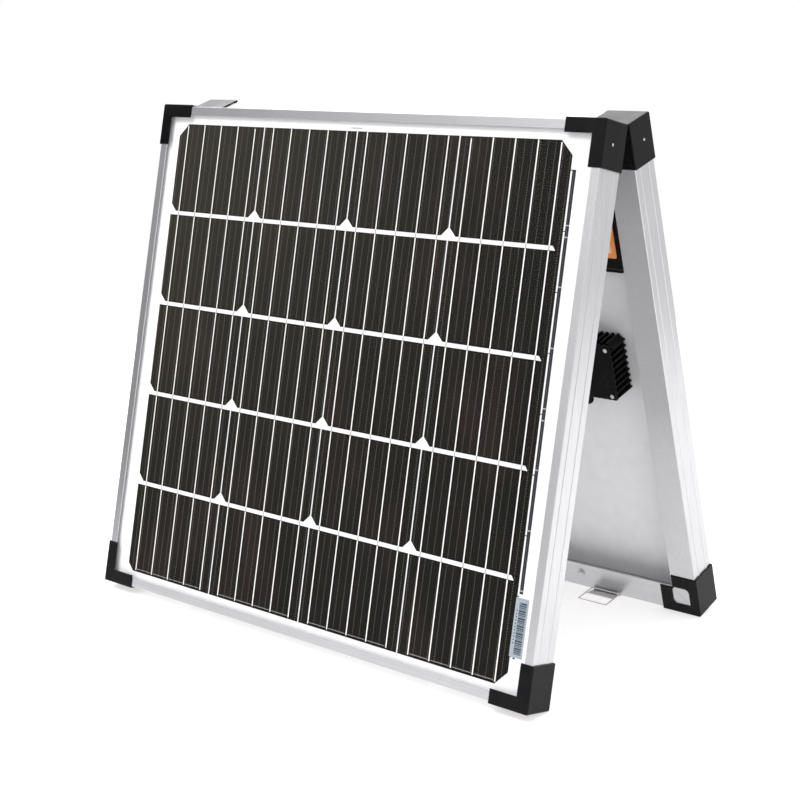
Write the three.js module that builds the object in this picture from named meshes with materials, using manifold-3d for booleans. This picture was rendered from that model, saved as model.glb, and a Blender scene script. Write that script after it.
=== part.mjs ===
// Folding solar suitcase: two framed solar panels, hinged along their top edges and stood up as an A.
//
// Units are millimetres. +X runs along the hinge line, -Y is the side that the front panel faces,
// and +Z is up. The origin is on the ground, midway between the two panels and the two ends.
//
// Each panel is built in a frame of its own: x across, z up the panel, and depth measured from the
// back plane (depth 0) to the face of the corner caps on the glass side. Depth runs along -y.
// The rear panel is turned half round, so its own +x is the object's -x. In the names of the pieces,
// left and right are the object's -X and +X ends on both panels.

import * as THREE from 'three';
import { mergeVertices } from 'three/addons/utils/BufferGeometryUtils.js';
import Module from 'manifold-3d';

const wasm = await Module();
wasm.setup();

// ---------------------------------------------------------------- driving dimensions

const GAP = 0.3;                      // clearance between touching pieces

const PANEL = { width: 707, height: 650, depth: 43 };
const LEAN = THREE.MathUtils.degToRad(14.6);

const CAP = {
  proud: 2,                           // how far a corner cap stands outside the frame's edges
  plateProud: 1.5,                    // and in front of and behind it
  arm: 54,
  frontArmWidth: 17,
  backArmWidth: 36.2,
  plate: 1.2,
  wall: 1.1,
  chamfer: 0.8,
  windowStart: 12.5,
  windowEnd: 37.5,
  windowWeb: 1.6,
};

const RAIL = {
  wall: 1.6,
  flange: 35,                         // back flange, measured from the outer face
  lip: 11,                            // front lip over the glass
  lipThickness: 1.4,
  ledge: 12,
  ledgeTop: 35.2,
  chamberWall: 1.4,
  beadWidth: 2.6,
  beadHeight: 0.6,
  beadOffset: 9,                      // bead centres, either side of mid depth
  corner: 1,
};

const FRAME = {
  width: PANEL.width - 2 * CAP.proud,
  height: PANEL.height - 2 * CAP.proud,
  back: CAP.plateProud,
  front: PANEL.depth - CAP.plateProud,
  bottom: CAP.proud,
  top: PANEL.height - CAP.proud,
};

const LAMINATE = {
  edge: 2.4,                          // how far the sheets stop short of the frame's outer faces
  glass: [36.6, 39.8],
  cells: [36.0, 36.35],
  backsheet: [35.45, 35.75],
};

const HINGE = {
  offset: 240,
  length: 60,
  axisHeight: 651.2,
  axisBehind: 0.5,                    // from the axis to each panel's back plane
  knuckleRadius: 3,
  boreRadius: 1.65,
  pinRadius: 1.3,
  middle: 20,
  leafDepth: 18,
  leafLow: 648.9,
  leafHigh: 650.1,
};

const JUNCTION_BOX = {
  x: -244,                            // in each panel's own frame
  z: 331,
  width: 72,
  height: 78,
  finDepth: 3,
  finPitch: 8,
  finWidth: 4,
  front: 6.4,
  lid: [3.2, 6.1],
  lidInset: 2,
  screwInset: 8,
  screwHead: 2.7,
  screwShank: 1.5,
  screwHeadHeight: 1.5,
  glandX: -222,
};

const REGULATOR = {
  x: -247,                            // in the rear panel's own frame
  z: 519,
  width: 150,
  height: 104,
  front: 9.5,
  back: 35.1,
  corner: 4,
  label: [8.4, 9.2],
  labelMargin: 9,
  labelInset: 8.5,                    // a wider black margin at the case's outer end
  labelLift: 6,
  buttonRadius: 5,
  buttonTop: 6.2,
  buttonBottom: 11.8,
  pocketDepth: 13.2,
  buttonX: -186,
  buttonZ: [508, 530],
  terminalHalfWidth: 55,
  terminalDrop: 8,
  terminalFront: 19,
};

const LATCH = {
  x: 215,
  pivotDepth: 9.5,
  pivotHeight: -0.3,
  knuckleRadius: 1.7,
  boreRadius: 1.25,
  pinRadius: 0.9,
  halfWidth: 19,
  tabHalfWidth: 5,
  plate: [0.1, 1.1],                  // height of the base plate under the rail
  plateDepth: [20.5, 38],
  leverLength: 30,
  leverLow: [-1.6, -0.8],             // the strips that pass under the rail's edge
  leverDeck: [0.4, 1.3],              // the raised plate beyond the edge
  leverStep: 9,                       // how far from the pivot the strips rise to the deck
  leverSkin: 1,
  tipRise: 2.9,
  loopPivot: [11.7, 3.2],             // inward of and above the lever's pivot
  cheekHalfWidth: 1.9,
  cheekThickness: 1.2,
  cheekTop: 5,
  cheekBevel: 0.8,
  loopLength: 33.7,
  loopDrop: 4.1,
  loopSpread: 1.7,                    // from the lever's side to the loop's centre line, past the gap
  wireRadius: 0.9,
};

const KEEPER = {
  halfWidth: 11,
  depth: [9, 28],
  plate: [0.1, 1.1],
  wallThickness: 1.4,
  wallLow: -2,
};

const HANDLE = {
  halfLength: 62,
  armWidth: 8,
  pivotDepth: 13,
  pivotHeight: -0.9,
  pinRadius: 0.9,
  pinReach: [-2, 3.5],                // either side of the handle's end
  boreRadius: 1.25,
  earRadius: 1.95,
  earThickness: 2.7,
  gripDepth: [32, 41],
  gripHeight: [-6, 0.3],
  gripChamfer: 2,
  armRoot: 1.75,                      // half the arm's thickness at its pin
  bracketLength: 18,
  bracketDepth: [8, 30],
  bracketPlate: [0.1, 1.1],
};

const EARTHING = { x: -177, z: 23 };  // in the rear panel's own frame

// ---------------------------------------------------------------- materials

function material(color, roughness, metalness) {
  return new THREE.MeshStandardMaterial({ color, roughness, metalness });
}

const MATERIALS = {
  aluminium: material(0xc9cacd, 0.35, 0.9),
  cap: material(0x17171a, 0.45, 0),
  glass: material(0x1b1c1c, 0.08, 0),
  cells: material(0x24231f, 0.3, 0.1),
  backsheet: material(0xe9e9ec, 0.6, 0),
  steel: material(0xb9babd, 0.25, 1),
  chrome: material(0xd8d9dc, 0.12, 1),
  housing: material(0x0c0c0e, 0.5, 0),
  label: material(0xe8642a, 0.5, 0),
  button: material(0x3c3f45, 0.5, 0),
  grip: material(0x131315, 0.6, 0),
};

// ---------------------------------------------------------------- geometry helpers

// A closed three.js geometry as a manifold solid.
function toSolid(geometry) {
  const plain = geometry.clone();
  plain.deleteAttribute('normal');
  plain.deleteAttribute('uv');
  const merged = mergeVertices(plain, 1e-4);
  const mesh = new wasm.Mesh({
    numProp: 3,
    vertProperties: new Float32Array(merged.attributes.position.array),
    triVerts: new Uint32Array(merged.index.array),
  });
  return new wasm.Manifold(mesh);
}

// A manifold solid as a flat-shaded three.js geometry.
function toGeometry(solid) {
  const mesh = solid.getMesh();
  const geometry = new THREE.BufferGeometry();
  geometry.setAttribute('position', new THREE.Float32BufferAttribute(mesh.vertProperties, 3));
  geometry.setIndex(Array.from(mesh.triVerts));
  const flat = geometry.toNonIndexed();
  flat.computeVertexNormals();
  return flat;
}

function join(geometries) {
  return toGeometry(geometries.map(toSolid).reduce((all, next) => all.add(next)));
}

function cut(geometry, tools) {
  return toGeometry(tools.map(toSolid).reduce((left, tool) => left.subtract(tool), toSolid(geometry)));
}

// A box between two limits on each axis.
function box([x0, x1], [y0, y1], [z0, z1]) {
  const geometry = new THREE.BoxGeometry(x1 - x0, y1 - y0, z1 - z0);
  return geometry.translate((x0 + x1) / 2, (y0 + y1) / 2, (z0 + z1) / 2);
}

// A box in a panel's frame, with its second pair of limits given as depths.
function panelBox(xs, [near, far], zs) {
  return box(xs, [-far, -near], zs);
}

// A cylinder along x between two limits.
function rodAlongX(radius, [x0, x1], y, z, sides = 16) {
  const geometry = new THREE.CylinderGeometry(radius, radius, x1 - x0, sides);
  return geometry.rotateZ(Math.PI / 2).translate((x0 + x1) / 2, y, z);
}

// A cylinder along a panel's depth between two depths.
function rodAlongDepth(radius, x, [near, far], z, sides = 20) {
  const geometry = new THREE.CylinderGeometry(radius, radius, far - near, sides);
  return geometry.translate(x, -(near + far) / 2, z);
}

function shapeFrom(points) {
  return new THREE.Shape(points.map(([x, y]) => new THREE.Vector2(x, y)));
}

function roundedRectangle(width, height, radius) {
  const shape = new THREE.Shape();
  const x = width / 2;
  const y = height / 2;
  shape.moveTo(-x + radius, -y);
  shape.lineTo(x - radius, -y);
  shape.absarc(x - radius, -y + radius, radius, -Math.PI / 2, 0);
  shape.lineTo(x, y - radius);
  shape.absarc(x - radius, y - radius, radius, 0, Math.PI / 2);
  shape.lineTo(-x + radius, y);
  shape.absarc(-x + radius, y - radius, radius, Math.PI / 2, Math.PI);
  shape.lineTo(-x, -y + radius);
  shape.absarc(-x + radius, -y + radius, radius, Math.PI, 1.5 * Math.PI);
  return shape;
}

// A shape drawn in a panel's x and z, extruded between two depths. The bevel narrows both ends.
function plate(shape, [near, far], bevel = 0, curveSegments = 4) {
  const geometry = new THREE.ExtrudeGeometry(shape, {
    depth: far - near - 2 * bevel,
    bevelEnabled: bevel > 0,
    bevelThickness: bevel,
    bevelSize: bevel,
    bevelOffset: -bevel,
    bevelSegments: 1,
    curveSegments,
  });
  return geometry.rotateX(Math.PI / 2).translate(0, -near - bevel, 0);
}

// A profile drawn in (across, up), extruded along x between two limits.
function profileAlongX(points, [x0, x1]) {
  const geometry = new THREE.ExtrudeGeometry(shapeFrom(points), { depth: x1 - x0, bevelEnabled: false });
  const axes = new THREE.Matrix4().makeBasis(
    new THREE.Vector3(0, 1, 0),
    new THREE.Vector3(0, 0, 1),
    new THREE.Vector3(1, 0, 0),
  );
  return geometry.applyMatrix4(axes).translate(x0, 0, 0);
}

function piece(name, geometry, look) {
  const mesh = new THREE.Mesh(geometry, look);
  mesh.name = name;
  return mesh;
}

// ---------------------------------------------------------------- frame rails

// The rail's section in (inset from the outer face, depth): a box chamber with a wide back flange,
// a groove for the sheets, a front lip, and two raised beads along the outer face.
function railSection() {
  const { back, front } = FRAME;
  const { wall, flange, lip, lipThickness, ledge, ledgeTop, chamberWall, corner } = RAIL;
  const middle = (back + front) / 2;
  const shape = new THREE.Shape();
  shape.moveTo(flange, back);
  shape.lineTo(flange, back + wall);
  shape.lineTo(ledge, back + wall);
  shape.lineTo(ledge, ledgeTop);
  shape.lineTo(wall, ledgeTop);
  shape.lineTo(wall, front - lipThickness);
  shape.lineTo(lip, front - lipThickness);
  shape.lineTo(lip, front);
  shape.lineTo(corner, front);
  shape.absarc(corner, front - corner, corner, Math.PI / 2, Math.PI);
  for (const centre of [middle + RAIL.beadOffset, middle - RAIL.beadOffset]) {
    shape.lineTo(0, centre + RAIL.beadWidth / 2);
    shape.absellipse(0, centre, RAIL.beadHeight, RAIL.beadWidth / 2, Math.PI / 2, 1.5 * Math.PI);
  }
  shape.lineTo(0, back + corner);
  shape.absarc(corner, back + corner, corner, Math.PI, 1.5 * Math.PI);

  const chamber = shapeFrom([
    [wall, back + wall],
    [ledge - chamberWall, back + wall],
    [ledge - chamberWall, ledgeTop - chamberWall],
    [wall, ledgeTop - chamberWall],
  ]);
  shape.holes.push(chamber);
  return shape;
}

// A rail of the given outer length. Its ends are mitred by sliding each end's points along the rail
// by their own inset, less half a clearance where two rails meet.
function railGeometry(length) {
  const geometry = new THREE.ExtrudeGeometry(railSection(), {
    depth: length,
    bevelEnabled: false,
    curveSegments: 4,
  });
  const position = geometry.attributes.position;
  for (let index = 0; index < position.count; index += 1) {
    const inset = Math.max(position.getX(index), 0) + GAP / 2;
    const end = position.getZ(index) > length / 2 ? length - inset : inset;
    position.setZ(index, end);
  }
  return geometry;
}

// Places a rail: where it starts, which way its inset points and which way it runs.
function rail(name, length, start, insetAxis, runAxis) {
  const towardsGlass = new THREE.Vector3(0, -1, 0);
  const place = new THREE.Matrix4().makeBasis(insetAxis, towardsGlass, runAxis);
  place.setPosition(start);
  return piece(name, railGeometry(length).applyMatrix4(place), MATERIALS.aluminium);
}

// Which of the object's ends each panel's own -x and +x ends are.
const ENDS = {
  front: { low: 'left', high: 'right' },
  rear: { low: 'right', high: 'left' },
};

function frameRails(side) {
  const { low, high } = ENDS[side];
  const x = FRAME.width / 2;
  const right = new THREE.Vector3(1, 0, 0);
  const left = new THREE.Vector3(-1, 0, 0);
  const up = new THREE.Vector3(0, 0, 1);
  const down = new THREE.Vector3(0, 0, -1);
  return [
    rail(`${side}_rail_${low}`, FRAME.height, new THREE.Vector3(-x, 0, FRAME.top), right, down),
    rail(`${side}_rail_${high}`, FRAME.height, new THREE.Vector3(x, 0, FRAME.bottom), left, up),
    rail(`${side}_rail_top`, FRAME.width, new THREE.Vector3(x, 0, FRAME.top), down, left),
    rail(`${side}_rail_bottom`, FRAME.width, new THREE.Vector3(-x, 0, FRAME.bottom), up, right),
  ];
}

// ---------------------------------------------------------------- corner caps

// An L of two equal arms with its outer corner at the origin, in (inset from side, inset from end).
function cornerL(arm, width, cornerRadius) {
  const shape = new THREE.Shape();
  shape.moveTo(arm, 0);
  shape.lineTo(arm, width);
  shape.lineTo(width, width);
  shape.lineTo(width, arm);
  shape.lineTo(0, arm);
  shape.lineTo(0, cornerRadius);
  shape.absarc(cornerRadius, cornerRadius, cornerRadius, Math.PI, 1.5 * Math.PI);
  return shape;
}

// The opening in the cap's back plate: square, with two round corners and a clipped inner one that
// leaves a thin web beside the inside corner of the L.
function capWindow() {
  const { windowStart: low, windowEnd: high, windowWeb, backArmWidth } = CAP;
  const clip = 2 * high - (2 * backArmWidth - windowWeb * Math.SQRT2);
  const round = 6;
  const shape = new THREE.Shape();
  shape.moveTo(low, low);
  shape.lineTo(high - round, low);
  shape.absarc(high - round, low + round, round, -Math.PI / 2, 0);
  shape.lineTo(high, high - clip);
  shape.lineTo(high - clip, high);
  shape.lineTo(low + round, high);
  shape.absarc(low + round, high - round, round, Math.PI / 2, Math.PI);
  return shape;
}

// A moulded cap that sleeves one corner of the frame. It is the same under a quarter turn, so one
// shape serves all four corners.
function capGeometry() {
  const far = CAP.arm + 1;
  const inside = [CAP.wall, far];
  const outer = plate(cornerL(CAP.arm, CAP.backArmWidth, CAP.proud), [0, PANEL.depth], CAP.chamfer);
  const hollow = panelBox(inside, [CAP.plate, PANEL.depth - CAP.plate], inside);
  const frontCut = [CAP.frontArmWidth, far];
  const frontTrim = panelBox(frontCut, [PANEL.depth / 2, PANEL.depth + 1], frontCut);
  const window = plate(capWindow(), [-1, PANEL.depth / 2]);
  return cut(outer, [hollow, frontTrim, window]);
}

function cornerCaps(side) {
  const { low, high } = ENDS[side];
  const corners = [
    [`bottom_${low}`, 0, -PANEL.width / 2, 0],
    [`bottom_${high}`, -Math.PI / 2, PANEL.width / 2, 0],
    [`top_${high}`, Math.PI, PANEL.width / 2, PANEL.height],
    [`top_${low}`, Math.PI / 2, -PANEL.width / 2, PANEL.height],
  ];
  return corners.map(([corner, turn, x, z]) => {
    const geometry = capGeometry().rotateY(turn).translate(x, 0, z);
    return piece(`${side}_cap_${corner}`, geometry, MATERIALS.cap);
  });
}

// ---------------------------------------------------------------- glass, cells and backsheet

function laminate(side) {
  const x = FRAME.width / 2 - LAMINATE.edge;
  const low = FRAME.bottom + LAMINATE.edge;
  const high = FRAME.top - LAMINATE.edge;
  const sheets = [['glass', MATERIALS.glass], ['cells', MATERIALS.cells], ['backsheet', MATERIALS.backsheet]];
  return sheets.map(([sheet, look]) => {
    const geometry = panelBox([-x, x], LAMINATE[sheet], [low, high]);
    return piece(`${side}_${sheet}`, geometry, look);
  });
}

// ---------------------------------------------------------------- junction box

// The box's outline with square fins on all four sides, centred on the origin.
function finnedOutline() {
  const { width, height, finDepth, finPitch, finWidth } = JUNCTION_BOX;
  const points = [];
  const sides = [
    { along: [1, 0], out: [0, -1], length: width, reach: height },
    { along: [0, 1], out: [1, 0], length: height, reach: width },
    { along: [-1, 0], out: [0, 1], length: width, reach: height },
    { along: [0, -1], out: [-1, 0], length: height, reach: width },
  ];
  for (const { along, out, length, reach } of sides) {
    const core = length - 2 * finDepth;
    const count = Math.floor(core / finPitch);
    const add = (run, stand) => points.push([
      along[0] * run + out[0] * stand,
      along[1] * run + out[1] * stand,
    ]);
    for (let fin = 0; fin < count; fin += 1) {
      const centre = (fin - (count - 1) / 2) * finPitch;
      add(centre - finWidth / 2, reach / 2 - finDepth);
      add(centre - finWidth / 4, reach / 2);
      add(centre + finWidth / 4, reach / 2);
      add(centre + finWidth / 2, reach / 2 - finDepth);
    }
  }
  return shapeFrom(points);
}

function lidScrewPlaces(x) {
  const across = JUNCTION_BOX.width / 2 - JUNCTION_BOX.screwInset;
  const up = JUNCTION_BOX.height / 2 - JUNCTION_BOX.screwInset;
  const places = [[-across, -up], [across, -up], [across, up], [-across, up]];
  return places.map(([dx, dz]) => [x + dx, JUNCTION_BOX.z + dz]);
}

function lidScrew(x, z) {
  const [near, far] = JUNCTION_BOX.lid;
  const { screwHead, screwShank, screwHeadHeight } = JUNCTION_BOX;
  const seat = near - GAP;
  const head = rodAlongDepth(screwHead, x, [seat - screwHeadHeight, seat], z);
  const shank = rodAlongDepth(screwShank, x, [seat - screwHeadHeight / 3, far], z, 12);
  return join([head, shank]);
}

// A cable gland below the box: a threaded neck, a hexagonal nut and a domed cap with an open bore.
function glandGeometry(x, z) {
  const profile = [
    [3, 0], [6, 0], [6, 3], [8, 3], [8, 9], [6.5, 9], [6.5, 14], [4.5, 17], [3, 17], [3, 0],
  ].map(([radius, along]) => new THREE.Vector2(radius, along));
  const depth = (JUNCTION_BOX.front + LAMINATE.backsheet[0]) / 2;
  return new THREE.LatheGeometry(profile, 18).rotateX(-Math.PI / 2).translate(x, -depth, z);
}

function junctionBox(side) {
  const { x } = JUNCTION_BOX;
  const back = LAMINATE.backsheet[0] - GAP;
  const body = plate(finnedOutline(), [JUNCTION_BOX.front, back]).translate(x, 0, JUNCTION_BOX.z);
  const lidShape = roundedRectangle(
    JUNCTION_BOX.width - 2 * JUNCTION_BOX.lidInset,
    JUNCTION_BOX.height - 2 * JUNCTION_BOX.lidInset,
    3,
  );
  const lid = plate(lidShape, JUNCTION_BOX.lid, 0.6).translate(x, 0, JUNCTION_BOX.z);
  const places = lidScrewPlaces(x);
  const holes = places.map(([sx, sz]) => rodAlongDepth(
    JUNCTION_BOX.screwShank + GAP + 0.1, sx, [JUNCTION_BOX.lid[0] - 1, JUNCTION_BOX.lid[1] + 1], sz, 12,
  ));
  const glandTop = JUNCTION_BOX.z - JUNCTION_BOX.height / 2 - GAP;
  const gland = glandGeometry(JUNCTION_BOX.glandX, glandTop);
  const screws = places.map(([sx, sz], index) => (
    piece(`${side}_junction_lid_screw_${index + 1}`, lidScrew(sx, sz), MATERIALS.steel)
  ));
  return [
    piece(`${side}_junction_box`, body, MATERIALS.housing),
    piece(`${side}_junction_lid`, cut(lid, holes), MATERIALS.housing),
    piece(`${side}_junction_gland`, gland, MATERIALS.housing),
    ...screws,
  ];
}

// ---------------------------------------------------------------- charge regulator

function regulatorButtonHole(z, reach) {
  const { buttonRadius, buttonX } = REGULATOR;
  return rodAlongDepth(buttonRadius + GAP + 0.1, buttonX, reach, z, 24);
}

function regulatorTerminals() {
  const { x, z, height, back, terminalHalfWidth, terminalDrop, terminalFront } = REGULATOR;
  const top = z - height / 2 - GAP;
  return panelBox(
    [x - terminalHalfWidth, x + terminalHalfWidth],
    [terminalFront, back - GAP],
    [top - terminalDrop, top],
  );
}

function regulator() {
  const { x, z, width, height, front, back, corner, label } = REGULATOR;
  const { labelMargin, labelInset, labelLift } = REGULATOR;
  const labelWidth = width - 2 * labelMargin - labelInset;
  const body = plate(roundedRectangle(width, height, corner), [front, back], 1.2).translate(x, 0, z);
  const pockets = REGULATOR.buttonZ.map((bz) => regulatorButtonHole(bz, [front - 1, REGULATOR.pocketDepth]));
  const labelShape = roundedRectangle(labelWidth, height - 2 * labelMargin - labelLift, 2);
  const labelPlate = plate(labelShape, label).translate(x + labelInset / 2, 0, z + labelLift / 2);
  const labelHoles = REGULATOR.buttonZ.map((bz) => regulatorButtonHole(bz, [label[0] - 1, label[1] + 1]));
  const buttons = REGULATOR.buttonZ.map((bz, index) => {
    const reach = [REGULATOR.buttonTop, REGULATOR.buttonBottom];
    const button = rodAlongDepth(REGULATOR.buttonRadius, REGULATOR.buttonX, reach, bz, 24);
    return piece(`regulator_button_${index + 1}`, button, MATERIALS.button);
  });
  return [
    piece('regulator_case', cut(body, pockets), MATERIALS.housing),
    piece('regulator_label', cut(labelPlate, labelHoles), MATERIALS.label),
    piece('regulator_terminals', regulatorTerminals(), MATERIALS.housing),
    ...buttons,
  ];
}

// ---------------------------------------------------------------- butt hinges between the panels

// One leaf, in its panel's frame. It lies on the top rail's beads, and its knuckles wrap the pin.
function hingeLeaf(x, knuckles, clearances) {
  const { axisHeight, axisBehind, knuckleRadius, boreRadius, length, leafLow, leafHigh } = HINGE;
  const half = length / 2;
  const flat = box([x - half, x + half], [-HINGE.leafDepth, axisBehind], [leafLow, leafHigh]);
  const rounds = knuckles.map(([from, to]) => (
    rodAlongX(knuckleRadius, [x + from, x + to], axisBehind, axisHeight, 20)
  ));
  const notches = clearances.map(([from, to]) => (
    box([x + from, x + to], [axisBehind - knuckleRadius - GAP, 5], [leafLow - 1, leafHigh + 1])
  ));
  const bore = rodAlongX(boreRadius, [x - half - 1, x + half + 1], axisBehind, axisHeight);
  const tail = box([x - half - 1, x + half + 1], [axisBehind + 0.1, 5], [leafLow - 1, leafHigh + 0.01]);
  const plateOnly = cut(flat, notches);
  return toGeometry(
    toSolid(cut(plateOnly, [tail])).add(toSolid(join(rounds))).subtract(toSolid(bore)),
  );
}

function frontLeaf(x) {
  const half = HINGE.length / 2;
  const middle = HINGE.middle / 2;
  const knuckles = [[-half, -middle - GAP], [middle + GAP, half]];
  return hingeLeaf(x, knuckles, [[-middle - GAP, middle + GAP]]);
}

function rearLeaf(x) {
  const half = HINGE.length / 2;
  const middle = HINGE.middle / 2;
  const clearances = [[-half - 1, -middle], [middle, half + 1]];
  return hingeLeaf(x, [[-middle, middle]], clearances);
}

function hingePin(x) {
  const { axisBehind, axisHeight, pinRadius, length } = HINGE;
  return rodAlongX(pinRadius, [x - length / 2, x + length / 2], axisBehind, axisHeight, 12);
}

const HINGE_ENDS = [['left', -HINGE.offset], ['right', HINGE.offset]];

// ---------------------------------------------------------------- draw latches

const LATCH_ENDS = [['left', -LATCH.x], ['right', LATCH.x]];

// The latch's base, in the rear panel's frame: a plate under the bottom rail, a narrow tab and the
// knuckle and pin that the lever turns on.
function latchBase(x) {
  const { halfWidth, tabHalfWidth, plate: [low, high], plateDepth, pivotDepth, pivotHeight } = LATCH;
  const across = [x - tabHalfWidth, x + tabHalfWidth];
  const flat = panelBox([x - halfWidth + 1, x + halfWidth - 1], plateDepth, [low, high]);
  const tab = panelBox(across, [pivotDepth, plateDepth[0] + 1], [low, high]);
  const knuckle = rodAlongX(LATCH.knuckleRadius, across, -pivotDepth, pivotHeight);
  const pin = rodAlongX(LATCH.pinRadius, [x - halfWidth, x + halfWidth], -pivotDepth, pivotHeight, 10);
  return join([flat, tab, knuckle, pin]);
}

// The section of the lever's two strips, drawn from the pivot inward.
function leverStripSection() {
  const { leverLow: [low, lowTop], leverDeck: [, deckTop], leverStep: step, leverSkin: skin } = LATCH;
  return [
    [0, low], [0, lowTop], [-step, lowTop], [-step, deckTop],
    [-step - 2 * skin, deckTop], [-step - 2 * skin, deckTop - skin],
    [-step - skin, deckTop - skin], [-step - skin, low],
  ];
}

// The section of the lever's deck, with its upturned finger tip.
function leverDeckSection() {
  const { leverDeck: [low, high], leverStep: step, leverLength: length, tipRise } = LATCH;
  return [
    [-step, low], [-step, high], [4 - length, high], [1 - length, tipRise],
    [-length, tipRise - 0.7], [3 - length, low],
  ];
}

// The section of the two cheeks that carry the loop.
function leverCheekSection() {
  const { cheekHalfWidth, cheekTop, cheekBevel, loopPivot, leverDeck: [low] } = LATCH;
  const near = cheekHalfWidth - loopPivot[0];
  const far = -cheekHalfWidth - loopPivot[0];
  return [
    [near, low], [near, cheekTop - cheekBevel], [near - cheekBevel, cheekTop],
    [far + cheekBevel, cheekTop], [far, cheekTop - cheekBevel], [far, low],
  ];
}

// The lever, with its pivot at the origin and its handle end along -y.
function latchLever(x) {
  const { halfWidth, tabHalfWidth, knuckleRadius, loopPivot, cheekThickness } = LATCH;
  const inner = tabHalfWidth + GAP;
  const sides = [[x - halfWidth, x - inner], [x + inner, x + halfWidth]];
  const knuckles = sides.map((span) => rodAlongX(knuckleRadius, span, 0, 0));
  const strips = sides.map((span) => profileAlongX(leverStripSection(), span));
  const deck = profileAlongX(leverDeckSection(), [x - halfWidth, x + halfWidth]);
  const cheeks = [
    [x - halfWidth, x - halfWidth + cheekThickness],
    [x + halfWidth - cheekThickness, x + halfWidth],
  ].map((span) => profileAlongX(leverCheekSection(), span));
  const across = [x - halfWidth - 1, x + halfWidth + 1];
  const bores = [
    rodAlongX(LATCH.boreRadius, across, 0, 0, 12),
    rodAlongX(LATCH.wireRadius + GAP, across, -loopPivot[0], loopPivot[1], 12),
  ];
  return cut(join([...knuckles, ...strips, deck, ...cheeks]), bores);
}

// A round bar between two points.
function barBetween(start, end, radius) {
  const bar = new THREE.CylinderGeometry(radius, radius, start.distanceTo(end), 8);
  const direction = end.clone().sub(start).normalize();
  const turn = new THREE.Quaternion().setFromUnitVectors(new THREE.Vector3(0, 1, 0), direction);
  const middle = start.clone().add(end).multiplyScalar(0.5);
  return bar.applyQuaternion(turn).translate(middle.x, middle.y, middle.z);
}

// The draw loop, a closed wire frame with its near bar at the origin.
function latchLoop(x) {
  const { loopLength, loopDrop, loopSpread, wireRadius } = LATCH;
  const half = LATCH.halfWidth + GAP + loopSpread;
  const far = -Math.sqrt(loopLength ** 2 - loopDrop ** 2);
  const corners = [
    new THREE.Vector3(x - half, 0, 0),
    new THREE.Vector3(x + half, 0, 0),
    new THREE.Vector3(x + half, far, -loopDrop),
    new THREE.Vector3(x - half, far, -loopDrop),
  ];
  const pieces = corners.flatMap((corner, index) => {
    const bar = barBetween(corner, corners[(index + 1) % corners.length], wireRadius);
    const knee = new THREE.SphereGeometry(wireRadius, 8, 6).translate(corner.x, corner.y, corner.z);
    return [bar, knee];
  });
  return join(pieces);
}

// The keeper under the front panel's bottom rail, with the short wall that the loop hooks behind.
function latchKeeper(x) {
  const { halfWidth, depth: [near, far], plate: [low, high], wallThickness, wallLow } = KEEPER;
  const wall = near + wallThickness;
  return profileAlongX([
    [-near, high], [-far, high], [-far, low], [-wall, low],
    [-wall, wallLow + 0.4], [-wall + 0.4, wallLow], [-near, wallLow],
  ], [x - halfWidth, x + halfWidth]);
}

// ---------------------------------------------------------------- carry handle

// A stretch along x near one end of the handle, given past that end.
function handleSpan(end, from, to) {
  const limits = [end * (HANDLE.halfLength + from), end * (HANDLE.halfLength + to)];
  return limits.sort((a, b) => a - b);
}

// The folding bail handle under the rear panel's bottom rail, in that panel's frame.
function carryHandle() {
  const { halfLength, armWidth, pivotDepth, pivotHeight, pinReach, armRoot } = HANDLE;
  const { gripDepth: [near, far], gripHeight: [low, high], gripChamfer: edge } = HANDLE;
  const gripSection = [
    [-near, low + edge], [-near, high], [-far, high], [-far, low + edge],
    [-far + edge, low], [-near - edge, low],
  ];
  const armSection = [
    [-pivotDepth + armRoot, pivotHeight], [-pivotDepth + armRoot / 2, high], [-near - 1, high],
    [-near - 1, low + edge], [-near + 2 * edge, low + edge], [-pivotDepth - edge, pivotHeight - armRoot],
    [-pivotDepth + armRoot / 2, pivotHeight - armRoot],
  ];
  const grip = profileAlongX(gripSection, [-halfLength, halfLength]);
  const arms = [-1, 1].map((end) => profileAlongX(armSection, handleSpan(end, -armWidth, 0)));
  const pins = [-1, 1].map((end) => (
    rodAlongX(HANDLE.pinRadius, handleSpan(end, ...pinReach), -pivotDepth, pivotHeight, 12)
  ));
  return join([grip, ...arms, ...pins]);
}

// A handle bracket: a plate under the rail, and an ear that the handle's pin turns in.
function handleBracket(end) {
  const { halfLength, pivotDepth, pivotHeight, earRadius, earThickness, boreRadius } = HANDLE;
  const { bracketLength, bracketDepth, bracketPlate } = HANDLE;
  const span = (from, to) => handleSpan(end, from, to);
  const earSpan = span(GAP, GAP + earThickness);
  const flat = panelBox(span(GAP, bracketLength), bracketDepth, bracketPlate);
  const ear = rodAlongX(earRadius, earSpan, -pivotDepth, pivotHeight);
  const neck = panelBox(earSpan, [pivotDepth - 1.7, pivotDepth + 1.7], [pivotHeight, bracketPlate[1]]);
  const bore = rodAlongX(boreRadius, span(0, GAP + earThickness + 1), -pivotDepth, pivotHeight, 12);
  return cut(join([flat, ear, neck]), [bore]);
}

// ---------------------------------------------------------------- earthing bolt

// A domed bolt with its washer on the rear panel's bottom flange, on the inner side.
function earthingBolt() {
  const profile = [[0, 0], [6, 0], [6, 0.6], [4, 0.6], [4, 1.6], [2.4, 2.6], [0, 2.9]]
    .map(([radius, along]) => new THREE.Vector2(radius, along));
  return new THREE.LatheGeometry(profile, 20).translate(EARTHING.x, GAP - FRAME.back, EARTHING.z);
}

// ---------------------------------------------------------------- assembly

function panelPieces(side) {
  return [
    ...frameRails(side),
    ...cornerCaps(side),
    ...laminate(side),
    ...junctionBox(side),
  ];
}

// From the hinge line to each panel's foot, along the ground.
const FOOT_REACH = HINGE.axisBehind * Math.cos(LEAN) + HINGE.axisHeight * Math.sin(LEAN);

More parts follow.
